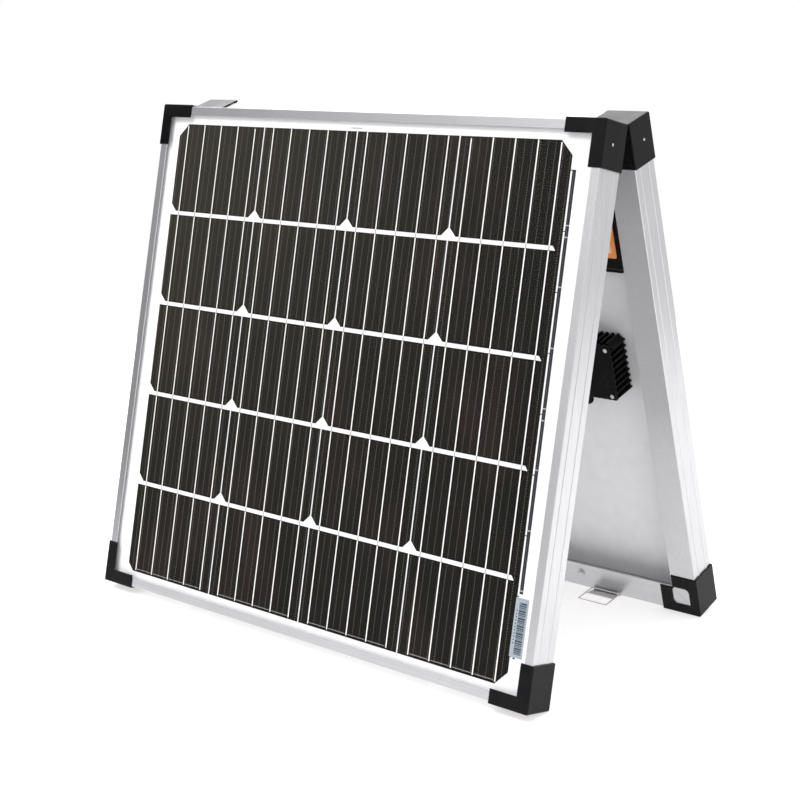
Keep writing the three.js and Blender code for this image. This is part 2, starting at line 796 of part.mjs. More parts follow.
// Stands a panel up: leaned back until its top edge lies under the hinge axis.
function stand(panel) {
  const leaning = new THREE.Group();
  leaning.add(panel);
  panel.rotation.x = -LEAN;
  panel.position.y = -FOOT_REACH;
  return leaning;
}

function frontPanel() {
  const panel = new THREE.Group();
  panel.add(...panelPieces('front'));
  for (const [end, x] of HINGE_ENDS) {
    panel.add(piece(`hinge_leaf_front_${end}`, frontLeaf(x), MATERIALS.steel));
    panel.add(piece(`hinge_pin_${end}`, hingePin(x), MATERIALS.steel));
  }
  for (const [end, x] of LATCH_ENDS) {
    panel.add(piece(`latch_keeper_${end}`, latchKeeper(x), MATERIALS.chrome));
  }
  return stand(panel);
}

// The rear panel is the front one turned half round, with the regulator, latches and handle.
function rearPanel() {
  const panel = new THREE.Group();
  panel.add(...panelPieces('rear'));
  panel.add(...regulator());
  for (const [end, x] of HINGE_ENDS) {
    panel.add(piece(`hinge_leaf_rear_${end}`, rearLeaf(-x), MATERIALS.steel));
  }
  for (const [end, x] of LATCH_ENDS) {
    panel.add(piece(`latch_base_${end}`, latchBase(-x), MATERIALS.chrome));
  }
  panel.add(piece('carry_handle', carryHandle(), MATERIALS.grip));
  panel.add(piece('handle_bracket_left', handleBracket(1), MATERIALS.steel));
  panel.add(piece('handle_bracket_right', handleBracket(-1), MATERIALS.steel));
  panel.add(piece('earthing_bolt', earthingBolt(), MATERIALS.steel));
  const turned = stand(panel);
  turned.rotation.z = Math.PI;
  return turned;
}

// The open latches lie on the ground inside the A, level rather than in line with the panel.
function openLatches() {
  const latches = new THREE.Group();
  const pivotY = FOOT_REACH + LATCH.pivotDepth * Math.cos(LEAN) - LATCH.pivotHeight * Math.sin(LEAN);
  const pivotZ = LATCH.pivotDepth * Math.sin(LEAN) + LATCH.pivotHeight * Math.cos(LEAN);
  for (const [end, x] of LATCH_ENDS) {
    const lever = piece(`latch_lever_${end}`, latchLever(x), MATERIALS.chrome);
    lever.position.set(0, pivotY, pivotZ);
    const loop = piece(`latch_loop_${end}`, latchLoop(x), MATERIALS.chrome);
    loop.position.set(0, pivotY - LATCH.loopPivot[0], pivotZ + LATCH.loopPivot[1]);
    latches.add(lever, loop);
  }
  return latches;
}

const group = new THREE.Group();
group.add(frontPanel(), rearPanel(), openLatches());

export default group;
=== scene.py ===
"""Looks of a folding solar suitcase kit: two framed solar panels that stand as an A.

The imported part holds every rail, cap, housing, hinge and latch, and this script gives them their materials.
It adds the thin soldered and printed layers under the glass, the cap screws and the regulator's print.
"""

import math

import bpy
from mathutils import Matrix, Vector


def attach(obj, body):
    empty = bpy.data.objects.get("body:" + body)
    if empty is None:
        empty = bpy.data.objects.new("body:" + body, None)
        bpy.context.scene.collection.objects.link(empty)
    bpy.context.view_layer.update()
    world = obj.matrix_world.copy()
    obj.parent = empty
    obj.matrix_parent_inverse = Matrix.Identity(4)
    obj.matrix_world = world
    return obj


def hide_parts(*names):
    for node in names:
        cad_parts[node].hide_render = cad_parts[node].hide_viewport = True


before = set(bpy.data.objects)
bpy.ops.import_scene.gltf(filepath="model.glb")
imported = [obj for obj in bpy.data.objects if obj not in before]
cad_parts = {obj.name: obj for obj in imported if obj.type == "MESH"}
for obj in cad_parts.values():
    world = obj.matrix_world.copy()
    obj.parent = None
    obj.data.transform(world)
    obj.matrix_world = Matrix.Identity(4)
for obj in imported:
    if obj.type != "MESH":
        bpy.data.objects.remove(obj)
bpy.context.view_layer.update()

MM = 0.001
PANELS = ("front", "rear")

# How each panel stands: it leans back by LEAN, and its back face meets the floor REACH from the middle.
LEAN = math.radians(14.6)
REACH = 164.631 * MM

# Inside a panel all sizes are in millimetres. Depths run from its back face towards its glass.
CELL_LOW = 36.02
CELL_HIGH = 36.18
RIM_HIGH = 36.22
LINE_HIGH = 36.24
TAB_HIGH = 36.26
PRINT_HIGH = 36.34

# The solar cells: four strings of five cells, each string a little out of square.
COLUMNS = 4
ROWS = 5
CELL_WIDTH = 156.75
CELL_HEIGHT = 116.4
COLUMN_GAP = 2.0
ROW_GAP = 5.3
CELLS_LEFT = -319.5
CELLS_TOP = 625.0
CELLS_BOTTOM = CELLS_TOP - ROWS * CELL_HEIGHT - (ROWS - 1) * ROW_GAP
CELLS_RIGHT = CELLS_LEFT + COLUMNS * CELL_WIDTH + (COLUMNS - 1) * COLUMN_GAP
CELLS_MIDDLE = (CELLS_TOP + CELLS_BOTTOM) / 2
STRING_TILT = math.tan(math.radians(0.57))
OUTER_CUT = 16.0
INNER_CUT = 9.7

# At the right-hand end of each gap between rows a slanted bit of silicon covers the white.
COVER_FOOT = 7.0
COVER_HEAD = 11.0

# The busbars on each cell, the black lines beside them, and the tabs that cross the gaps.
BUSBARS = 5
BUSBAR_WIDTH = 1.7
BUSBAR_EDGE = 1.35
BUSBAR_INSET = 0.4
BUSBAR_INSET_AT_CUT = 2.5
BUSBAR_FOOT = 2.0
GAP_TAB_WIDTH = 1.1

# The dark rim along each cell's upper and lower edge, and the pale hairline at the foot of the last row.
RIM_WIDTH = 1.1
HAIRLINE_LOW = 3.4
HAIRLINE_HIGH = 3.9

# The cross ribbon that joins the strings, in the right-hand margin, with its seam, tabs and breaks.
RIBBON_LEFT = 316.0
RIBBON_RIGHT = 320.6
RIBBON_RISE = 0.6
RIBBON_DROP = 3.0
SEAM_WIDTH = 0.7
SEAM_FOOT_INSET = 2.0
SEAM_HEAD_INSET = 3.0
TAB_COUNT = 9
TAB_TOP = 592.5
TAB_PITCH = 67.1
TAB_WIDTH = 1.0
TAB_OVERLAP = 1.5
LAST_TAB_INSET = 1.0
BREAK_WIDTH = 1.4
PAIRED_BREAKS = (-6.5, 6.5)
SINGLE_BREAK = (6.0,)

# A loose end of ribbon in the top margin, over the middle columns.
LOOSE_END_LEFT = -14.0
LOOSE_END_RIGHT = 4.0
LOOSE_END_LOW = CELLS_TOP + 3.2
LOOSE_END_HIGH = CELLS_TOP + 4.2

# The bar sticker at the lower right, under the glass.
STICKER_LEFT = 314.8
STICKER_RIGHT = 332.0
STICKER_BOTTOM = 56.0
STICKER_TOP = 121.7
BARS_LEFT = STICKER_LEFT + 5.4
BARS_RIGHT = STICKER_RIGHT - 2.2
BARS_BOTTOM = STICKER_BOTTOM + 3.5
BARS_TOP = STICKER_TOP - 4.5
BAR_THINNEST = 0.7
BAR_GROWTH = 0.45
BAR_GAP = 0.7
BAR_GAP_GROWTH = 0.3
TICK_COUNT = 11
TICK_PITCH = 3.6
TICK_SIZE = 1.4
TICKS_LEFT = STICKER_LEFT + 2.4
TICKS_BOTTOM = STICKER_BOTTOM + 15.0

# A dark stub of ribbon that shows just below the sticker.
STUB_LEFT = STICKER_LEFT + 5.4
STUB_RIGHT = STICKER_LEFT + 8.2
STUB_BOTTOM = STICKER_BOTTOM - 2.0
STUB_TOP = STICKER_BOTTOM - 0.2

# The countersunk screw in the outer side of each top corner cap, as rings: how far each stands out, and
# its radius.
CAP_SIDE = 353.5
SCREW_DEPTH = 25.0
SCREW_HEIGHT = 623.5
SCREW_PROFILE = ((-0.6, 1.7), (0.02, 1.7), (0.12, 1.3))

# The print on the regulator's label, which lies on the rear panel's back.
LABEL_FACE = 8.4
LABEL_INK = 0.06
LABEL_LEFT = -304.5
LABEL_RIGHT = -181.0
LABEL_BOTTOM = 482.0
LABEL_TOP = 562.0
LABEL_BORDER = 6.5
SCREEN_LEFT = LABEL_LEFT + 26.0
SCREEN_RIGHT = LABEL_LEFT + 74.0
SCREEN_BOTTOM = 520.0
SCREEN_TOP = 546.0
SCREEN_DEPTH = 0.14
MARK_ROWS = 3
MARK_COLUMNS = 4
MARK_WIDTH = 1.5
MARK_SHORTEST = 8.0
MARK_GROWTH = 4.0
MARK_PITCH_ACROSS = 19.0
MARK_PITCH_UP = 7.5
MARKS_LEFT = LABEL_LEFT + 14.0
MARKS_BOTTOM = LABEL_BOTTOM + 13.0
LAMP_COUNT = 3
LAMP_PITCH = 10.0
LAMPS_ACROSS = LABEL_LEFT + 16.0
LAMP_RADIUS = 2.2
LAMP_SIDES = 16

# The floor of the studio, in metres.
FLOOR_RADIUS = 1.8
FLOOR_SIDES = 96

# The view: from the right in front, looking a little down. Angles in degrees, places in metres.
CAMERA_PLACE = (1.30081, -1.49959, 0.78525)
CAMERA_YAW = 40.64
CAMERA_PITCH = -12.827
CAMERA_ROLL = -1.986
CAMERA_LENS = 72.066
CAMERA_SHIFT = -0.0625


# ---------------------------------------------------------------- geometry

def panel_matrix(panel):
    """From a panel's own frame (across, minus depth, height) to the object's frame, in metres."""
    front = Matrix.Translation((0, -REACH, 0)) @ Matrix.Rotation(-LEAN, 4, "X")
    if panel == "front":
        return front
    return Matrix.Rotation(math.pi, 4, "Z") @ front


def circle(across, height, radius, sides):
    """Points round a circle, counter-clockwise."""
    turns = [2 * math.pi * i / sides for i in range(sides)]
    return [(across + radius * math.cos(turn), height + radius * math.sin(turn)) for turn in turns]


class Shape:
    """Gathers solids in a panel's own millimetres, then becomes one mesh."""

    def __init__(self):
        self.points = []
        self.faces = []

    def plate(self, outline, low, high):
        """A flat plate with a counter-clockwise outline of (across, height), between two depths."""
        count = len(outline)
        start = len(self.points)
        self.points += [(x, -high, z) for x, z in outline]
        self.points += [(x, -low, z) for x, z in outline]
        near = list(range(start, start + count))
        far = list(range(start + count, start + 2 * count))
        self.faces.append(near)
        self.faces.append(far[::-1])
        for i in range(count):
            j = (i + 1) % count
            self.faces.append([near[i], far[i], far[j], near[j]])

    def strip(self, left, right, bottom, top, low, high):
        """A rectangular plate, square to the panel."""
        self.plate([(left, bottom), (right, bottom), (right, top), (left, top)], low, high)

    def upright_strip(self, left, right, bottom, top, low, high):
        """A rectangular plate that leans with the strings of cells."""
        self.plate(tilted([(left, bottom), (right, bottom), (right, top), (left, top)]), low, high)

    def lathe_across(self, profile, depth, height, sides=24):
        """A round solid about an axis that runs across the panel; profile is (across, radius) pairs."""
        start = len(self.points)
        for across, radius in profile:
            for i in range(sides):
                turn = 2 * math.pi * i / sides
                self.points.append(
                    (across, -depth + radius * math.cos(turn), height + radius * math.sin(turn))
                )
        rings = len(profile)
        for ring in range(rings - 1):
            for i in range(sides):
                j = (i + 1) % sides
                a = start + ring * sides
                b = a + sides
                self.faces.append([a + i, a + j, b + j, b + i])
        self.faces.append([start + i for i in reversed(range(sides))])
        self.faces.append([start + (rings - 1) * sides + i for i in range(sides)])

    def make(self, name, panel, material):
        """The finished piece on its panel's body, with UVs in the panel's own metres."""
        mesh = bpy.data.meshes.new(name)
        mesh.from_pydata([tuple(c * MM for c in p) for p in self.points], [], self.faces)
        layer = mesh.uv_layers.new(name="panel")
        for loop in mesh.loops:
            place = mesh.vertices[loop.vertex_index].co
            layer.data[loop.index].uv = (place.x, place.z)
        mesh.transform(panel_matrix(panel))
        mesh.materials.append(material)
        mesh.validate()
        piece = bpy.data.objects.new(name, mesh)
        bpy.context.scene.collection.objects.link(piece)
        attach(piece, f"{panel}_panel")
        return piece


def tilted(outline):
    """The outline with the strings' tilt put in: a shift across that grows with height."""
    return [(x - (z - CELLS_MIDDLE) * STRING_TILT, z) for x, z in outline]


# ---------------------------------------------------------------- material nodes

def map_range(tree, source, low, high, to_low, to_high):
    node = tree.nodes.new("ShaderNodeMapRange")
    tree.links.new(source, node.inputs["Value"])
    for socket, value in zip(node.inputs[1:5], (low, high, to_low, to_high)):
        socket.default_value = value
    return node


def split_vector(tree, source):
    node = tree.nodes.new("ShaderNodeSeparateXYZ")
    tree.links.new(source, node.inputs["Vector"])
    return node.outputs


def arithmetic(tree, operation, *values):
    """A Math node on numbers and sockets, in its own order of inputs."""
    node = tree.nodes.new("ShaderNodeMath")
    node.operation = operation
    for socket, value in zip(node.inputs, values):
        if isinstance(value, (int, float)):
            socket.default_value = value
        else:
            tree.links.new(value, socket)
    return node.outputs["Value"]


class Recipe:
    """A Principled material and short calls for the nodes that drive it."""

    def __init__(self, name, colour, roughness, metallic=0.0):
        self.material = bpy.data.materials.new(name)
        self.material.use_nodes = True
        self.tree = self.material.node_tree
        self.shader = self.tree.nodes["Principled BSDF"]
        self.shader.inputs["Base Color"].default_value = (*colour, 1)
        self.shader.inputs["Roughness"].default_value = roughness
        self.shader.inputs["Metallic"].default_value = metallic
        self.coordinates = self.tree.nodes.new("ShaderNodeTexCoord")

    def link(self, source, target):
        self.tree.links.new(source, target)

    def mapped(self, scale, output="Object", turn=0.0):
        """Texture coordinates, turned about X and then scaled."""
        node = self.tree.nodes.new("ShaderNodeMapping")
        node.inputs["Rotation"].default_value = (turn, 0, 0)
        node.inputs["Scale"].default_value = scale
        self.link(self.coordinates.outputs[output], node.inputs["Vector"])
        return node.outputs["Vector"]

    def noise(self, vector, scale=1.0, detail=3.0):
        node = self.tree.nodes.new("ShaderNodeTexNoise")
        node.inputs["Scale"].default_value = scale
        node.inputs["Detail"].default_value = detail
        self.link(vector, node.inputs["Vector"])
        return node.outputs["Fac"]

    def math(self, operation, *values):
        return arithmetic(self.tree, operation, *values)

    def span(self, source, low, high, to_low, to_high):
        return map_range(self.tree, source, low, high, to_low, to_high).outputs["Result"]

    def sawtooth(self, place, pitch):
        """Rises from 0 to 1 in every pitch along a place in metres; pitch in millimetres."""
        return self.math("FRACT", self.math("MULTIPLY", place, 1 / (pitch * MM)))

    def mix(self, factor, first, second):
        """From the first colour to the second; either may be a socket."""
        node = self.tree.nodes.new("ShaderNodeMix")
        node.data_type = "RGBA"
        self.link(factor, node.inputs["Factor"])
        for name, value in (("A", first), ("B", second)):
            socket = [s for s in node.inputs if s.name == name and s.type == "RGBA"][0]
            if isinstance(value, tuple):
                socket.default_value = (*value, 1)
            else:
                self.link(value, socket)
        return [s for s in node.outputs if s.type == "RGBA"][0]

    def colour(self, source):
        self.link(source, self.shader.inputs["Base Color"])

    def roughness(self, source):
        self.link(source, self.shader.inputs["Roughness"])

    def specular(self, level):
        self.shader.inputs["Specular IOR Level"].default_value = level

    def bump(self, source, strength, distance):
        node = self.tree.nodes.new("ShaderNodeBump")
        node.inputs["Strength"].default_value = strength
        node.inputs["Distance"].default_value = distance
        self.link(source, node.inputs["Height"])
        self.link(node.outputs["Normal"], self.shader.inputs["Normal"])


# ---------------------------------------------------------------- materials

def aluminium(name, scale, turn=0.0):
    """Satin anodised extrusion with fine die lines along its length."""
    recipe = Recipe(name, (0.76, 0.76, 0.78), 0.36, 0.9)
    lines = recipe.noise(recipe.mapped(scale, turn=turn), 1.0, 4.0)
    clouds = recipe.noise(recipe.mapped((1, 1, 1)), 14.0, 3.0)
    tone = recipe.mix(recipe.span(clouds, 0.3, 0.7, 0, 1), (0.60, 0.60, 0.62), (0.66, 0.66, 0.675))
    streaks = recipe.mix(recipe.span(lines, 0.35, 0.75, 0, 1), tone, (0.55, 0.55, 0.57))
    recipe.colour(streaks)
    recipe.roughness(recipe.span(lines, 0.2, 0.8, 0.26, 0.38))
    recipe.bump(lines, 0.12, 0.00004)
    return recipe.material


def moulded_plastic(name, dark, light, low_rough, high_rough, grain=2600.0):
    """Black moulded plastic: fine spark-eroded grain, faint handling marks and a little dust."""
    recipe = Recipe(name, dark, low_rough)
    fine = recipe.noise(recipe.mapped((1, 1, 1)), grain, 2.0)
    marks = recipe.noise(recipe.mapped((1, 1, 1)), 35.0, 5.0)
    recipe.colour(recipe.mix(recipe.span(marks, 0.42, 0.75, 0, 1), dark, light))
    recipe.roughness(recipe.span(marks, 0.3, 0.7, low_rough, high_rough))
    recipe.bump(fine, 0.25, 0.00003)
    recipe.specular(0.12)
    return recipe.material


def panel_glass():
    """Low-iron tempered glass: it mirrors by angle, and lets the rest through."""
    recipe = Recipe("panel_glass", (0.97, 0.985, 0.98), 0.06, 1.0)
    facing_veil = 0.002
    grazing_veil = 0.5
    weight = recipe.tree.nodes.new("ShaderNodeLayerWeight")
    weight.inputs["Blend"].default_value = 0.5
    grazing = recipe.math("POWER", weight.outputs["Facing"], 5.0)
    alpha = recipe.math("MULTIPLY_ADD", grazing, grazing_veil, facing_veil)
    recipe.link(alpha, recipe.shader.inputs["Alpha"])
    ripple = recipe.noise(recipe.mapped((1, 1, 1)), 420.0, 2.0)
    smear = recipe.noise(recipe.mapped((1, 1, 1)), 9.0, 4.0)
    recipe.roughness(recipe.span(smear, 0.3, 0.75, 0.04, 0.1))
    recipe.bump(ripple, 0.08, 0.00002)
    return recipe.material


def silicon_ground(recipe, across, height):
    """Near-black silicon, warm and olive by turns, browner in patches, and paler towards the upper left by a
    painted reflection.
    """
    bands = recipe.noise(recipe.mapped((34, 8, 1), "UV"), 1.0, 2.0)
    patches = recipe.noise(recipe.mapped((9, 5, 1), "UV"), 1.0, 2.0)
    warm = (0.0072, 0.0056, 0.0047)
    olive = (0.0047, 0.0053, 0.0037)
    brown = (0.0165, 0.0098, 0.0082)
    # pale is a painted reflection, not a tone of the silicon itself.
    pale = (0.033, 0.030, 0.023)
    banded = recipe.mix(recipe.span(bands, 0.38, 0.62, 0, 1), warm, olive)
    browned = recipe.mix(recipe.span(patches, 0.48, 0.66, 0, 0.9), banded, brown)
    # Painted reflection: the cells are mixed towards pale, most at the upper left and not at all at the right
    # or the bottom.
    reflection_leftward = recipe.span(across, -0.33, 0.33, 1.0, 0.0)
    upward = recipe.span(height, 0.0, 0.6, 0.0, 1.0)
    return recipe.mix(recipe.math("MULTIPLY", reflection_leftward, upward), browned, pale)


def cell_silicon():
    """Monocrystalline silicon with fine finger lines and upright rows of dots."""
    recipe = Recipe("cell_silicon", (0.028, 0.026, 0.022), 0.42)
    finger_pitch = 1.5
    dot_row_pitch = 10.45
    dot_pitch = 3.0
    place = split_vector(recipe.tree, recipe.coordinates.outputs["UV"])
    across = place["X"]
    height = place["Y"]
    ground = silicon_ground(recipe, across, height)
    grain = recipe.noise(recipe.mapped((1, 1, 1), "UV"), 900.0, 3.0)
    speckled = recipe.mix(recipe.span(grain, 0.5, 0.8, 0, 0.5), ground, (0.020, 0.019, 0.017))
    finger_line = recipe.math("LESS_THAN", recipe.sawtooth(height, finger_pitch), 0.16)
    fingered = recipe.mix(recipe.math("MULTIPLY", finger_line, 0.4), speckled, (0.035, 0.033, 0.029))
    from_row = recipe.math("SUBTRACT", recipe.sawtooth(across, dot_row_pitch), 0.5)
    near_row = recipe.math("LESS_THAN", recipe.math("ABSOLUTE", from_row), 0.04)
    near_dot = recipe.math("LESS_THAN", recipe.sawtooth(height, dot_pitch), 0.4)
    dots = recipe.math("MULTIPLY", near_row, near_dot)
    recipe.colour(recipe.mix(recipe.math("MULTIPLY", dots, 0.8), fingered, (0.20, 0.19, 0.16)))
    recipe.roughness(recipe.span(grain, 0.2, 0.8, 0.36, 0.5))
    recipe.bump(grain, 0.1, 0.00002)
    recipe.specular(0.06)
    return recipe.material


def plain_sheet(name, colour, shade, roughness, specular=0.3):
    """A thin laminate or ribbon: a fine mottle in its colour, and a slight orange-peel surface."""
    recipe = Recipe(name, colour, roughness)
    mottle = recipe.noise(recipe.mapped((1, 1, 1)), 60.0, 4.0)
    peel = recipe.noise(recipe.mapped((1, 1, 1)), 720.0, 2.0)
    recipe.colour(recipe.mix(recipe.span(mottle, 0.35, 0.7, 0, 1), colour, shade))
    recipe.roughness(recipe.span(mottle, 0.3, 0.7, roughness - 0.05, roughness + 0.08))
    recipe.bump(peel, 0.1, 0.00003)
    recipe.specular(specular)
    return recipe.material


def bare_metal(name, colour, dull, low_rough, high_rough):
    """Plated or polished metal with faint scuffs and a slightly uneven plating."""
    recipe = Recipe(name, colour, low_rough, 1.0)
    scuffs = recipe.noise(recipe.mapped((1, 1, 3)), 120.0, 5.0)
    fine = recipe.noise(recipe.mapped((1, 1, 1)), 1080.0, 2.0)
    recipe.colour(recipe.mix(recipe.span(scuffs, 0.45, 0.75, 0, 1), colour, dull))
    recipe.roughness(recipe.span(scuffs, 0.3, 0.75, low_rough, high_rough))
    recipe.bump(fine, 0.08, 0.00003)
    return recipe.material


rail_across = aluminium("anodised_aluminium_across", (5, 1500, 1500))
rail_upright = {
    "front": aluminium("anodised_aluminium_front", (1500, 1500, 5), LEAN),
    "rear": aluminium("anodised_aluminium_rear", (1500, 1500, 5), -LEAN),
}
cap_plastic = moulded_plastic("cap_plastic", (0.003, 0.003, 0.004), (0.007, 0.0065, 0.0065), 0.24, 0.34)
housing_plastic = moulded_plastic(
    "housing_plastic", (0.002, 0.002, 0.0025), (0.004, 0.004, 0.0045), 0.2, 0.32
)
grip_plastic = moulded_plastic(
    "grip_plastic", (0.014, 0.014, 0.015), (0.024, 0.023, 0.023), 0.5, 0.62, 1500.0
)
button_plastic = moulded_plastic("button_plastic", (0.05, 0.055, 0.065), (0.075, 0.08, 0.09), 0.4, 0.5)
glass = panel_glass()
silicon = cell_silicon()
backsheet_white = plain_sheet("backsheet_white", (0.86, 0.86, 0.87), (0.82, 0.82, 0.84), 0.5)
busbar_silver = plain_sheet("busbar_silver", (0.84, 0.82, 0.78), (0.77, 0.75, 0.72), 0.4)
busbar_edge_black = plain_sheet(
    "busbar_edge_black", (0.002, 0.002, 0.002), (0.005, 0.0045, 0.004), 0.5, 0.05
)
gap_tab_grey = plain_sheet("gap_tab_grey", (0.42, 0.42, 0.43), (0.34, 0.34, 0.36), 0.4)
ribbon_dark = plain_sheet("ribbon_dark", (0.014, 0.0145, 0.017), (0.028, 0.029, 0.033), 0.35, 0.2)
ribbon_seam = plain_sheet("ribbon_seam", (0.06, 0.06, 0.07), (0.04, 0.04, 0.047), 0.4)
sticker_film = plain_sheet("sticker_film", (0.36, 0.40, 0.44), (0.31, 0.355, 0.40), 0.4)
sticker_ink = plain_sheet("sticker_ink", (0.018, 0.04, 0.062), (0.035, 0.06, 0.085), 0.5)
label_orange = plain_sheet("label_orange", (1.0, 0.33, 0.075), (0.96, 0.28, 0.06), 0.35, 0.4)
label_cream = plain_sheet("label_cream", (0.86, 0.81, 0.62), (0.80, 0.75, 0.56), 0.4)
label_ink = plain_sheet("label_ink", (0.012, 0.012, 0.014), (0.022, 0.022, 0.024), 0.4)
screen_glass = plain_sheet("screen_glass", (0.14, 0.17, 0.12), (0.11, 0.14, 0.10), 0.12, 0.5)
zinc_steel = bare_metal("zinc_steel", (0.62, 0.62, 0.63), (0.46, 0.45, 0.43), 0.28, 0.45)
chrome_steel = bare_metal("chrome_steel", (0.80, 0.79, 0.78), (0.66, 0.65, 0.63), 0.08, 0.24)


# ---------------------------------------------------------------- carried-over CAD nodes

def node_material(node):
    """The material of a CAD node, by its name's own words."""
    panel = node.split("_")[0]
    if "_rail_" in node:
        return rail_upright[panel] if node.endswith(("left", "right")) else rail_across
    wording = (
        ("_cap_", cap_plastic),
        ("_glass", glass),
        ("_backsheet", backsheet_white),
        ("junction_lid_screw", chrome_steel),
        ("junction", housing_plastic),
        ("regulator_label", label_orange),
        ("regulator_button", button_plastic),
        ("regulator", housing_plastic),
        ("hinge", zinc_steel),
        ("latch", chrome_steel),
        ("handle_bracket", zinc_steel),
        ("carry_handle", grip_plastic),
        ("earthing_bolt", zinc_steel),
    )
    for word, material in wording:
        if word in node:
            return material
    return silicon


for cad_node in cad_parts:
    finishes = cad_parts[cad_node].data.materials
    finishes.clear()
    finishes.append(node_material(cad_node))


# ---------------------------------------------------------------- solar cells and their wiring

def every_cell():
    return [(column, row) for column in range(COLUMNS) for row in range(ROWS)]


def cell_place(column, row):
    """Left, right, bottom and top of one cell."""
    left = CELLS_LEFT + column * (CELL_WIDTH + COLUMN_GAP)
    top = CELLS_TOP - row * (CELL_HEIGHT + ROW_GAP)
    return left, left + CELL_WIDTH, top - CELL_HEIGHT, top


def corner_cuts(column, row):
    """How far each corner is cut: bottom left, bottom right, top right, top left."""
    first_column = column == 0
    last_column = column == COLUMNS - 1
    if row == ROWS - 1:
        return (INNER_CUT if first_column else 0.0, OUTER_CUT if last_column else 0.0, 0.0, 0.0)
    top_cut = OUTER_CUT if row == 0 else 0.0
    return (
        INNER_CUT,
        0.0 if last_column else INNER_CUT,
        top_cut if last_column else 0.0,
        top_cut if first_column else 0.0,
    )


def cell_outline(column, row):
    """The cell's outline with its cut corners; each corner has the directions of its two edges."""
    left, right, bottom, top = cell_place(column, row)
    corners = (
        (left, bottom, (0, 1), (1, 0)),
        (right, bottom, (-1, 0), (0, 1)),
        (right, top, (0, -1), (-1, 0)),
        (left, top, (1, 0), (0, -1)),
    )
    outline = []
    for (x, z, before, after), cut in zip(corners, corner_cuts(column, row)):
        if cut == 0:
            outline.append((x, z))
            continue
        outline.append((x + before[0] * cut, z + before[1] * cut))
        outline.append((x + after[0] * cut, z + after[1] * cut))
    return tilted(outline)


def busbar_places(column):
    """The middles of the busbars of one string."""
    left = CELLS_LEFT + column * (CELL_WIDTH + COLUMN_GAP)
    pitch = CELL_WIDTH / BUSBARS
    return [left + pitch * (i + 0.5) for i in range(BUSBARS)]


def cell_layer(panel):
    shape = Shape()
    for column, row in every_cell():
        shape.plate(cell_outline(column, row), CELL_LOW, CELL_HIGH)
    for row in range(ROWS - 1):
        left, right, bottom, top = cell_place(COLUMNS - 1, row)
        foot = bottom - ROW_GAP
        cover = [(right - COVER_FOOT, foot), (right, foot), (right, bottom), (right - COVER_HEAD, bottom)]
        shape.plate(tilted(cover), CELL_LOW, CELL_HIGH)
    cells = shape.make(f"{panel}_cell_layer", panel, silicon)
    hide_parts(f"{panel}_cells")


def busbar_ends(column, row, index):
    """Bottom and top of one busbar, which stops short of the foot of the last row and of cut corners."""
    left, right, bottom, top = cell_place(column, row)
    outermost = index in (0, BUSBARS - 1)
    beside_cut = row == 0 and outermost and max(corner_cuts(column, row)) == OUTER_CUT
    low = bottom + BUSBAR_FOOT if row == ROWS - 1 else bottom
    high = top - (BUSBAR_INSET_AT_CUT if beside_cut else BUSBAR_INSET)
    return low, high


def busbars(panel):
    """The busbars, the black lines beside them and the tabs that carry them over the gaps."""
    bars = Shape()
    edges = Shape()
    tabs = Shape()
    half_bar = BUSBAR_WIDTH / 2
    half_edge = half_bar + BUSBAR_EDGE
    half_tab = GAP_TAB_WIDTH / 2
    for column, row in every_cell():
        bottom = cell_place(column, row)[2]
        for index, middle in enumerate(busbar_places(column)):
            low, high = busbar_ends(column, row, index)
            edges.upright_strip(middle - half_edge, middle + half_edge, low, high, CELL_HIGH, TAB_HIGH)
            bars.upright_strip(middle - half_bar, middle + half_bar, low, high, TAB_HIGH, PRINT_HIGH)
            if row < ROWS - 1:
                tabs.upright_strip(
                    middle - half_tab, middle + half_tab, bottom - ROW_GAP, bottom, CELL_LOW, TAB_HIGH
                )
    edges.make(f"{panel}_busbar_edges", panel, busbar_edge_black)
    bars.make(f"{panel}_busbars", panel, busbar_silver)
    tabs.make(f"{panel}_gap_tabs", panel, gap_tab_grey)


def cell_rims(panel):
    """The dark line along each cell's upper and lower edge, and the pale one near the last row's foot."""
    rims = Shape()
    hairline = Shape()
    for column, row in every_cell():
        left, right, bottom, top = cell_place(column, row)
        cuts = corner_cuts(column, row)
        rims.upright_strip(left + cuts[0], right - cuts[1], bottom, bottom + RIM_WIDTH, CELL_HIGH, RIM_HIGH)
        if row > 0:
            rims.upright_strip(left, right, top - RIM_WIDTH, top, CELL_HIGH, RIM_HIGH)
        if row == ROWS - 1:
            low = bottom + HAIRLINE_LOW
            high = bottom + HAIRLINE_HIGH
            hairline.upright_strip(left + OUTER_CUT, right - OUTER_CUT, low, high, CELL_HIGH, LINE_HIGH)
    rims.make(f"{panel}_cell_rims", panel, busbar_edge_black)
    hairline.make(f"{panel}_foot_hairline", panel, gap_tab_grey)


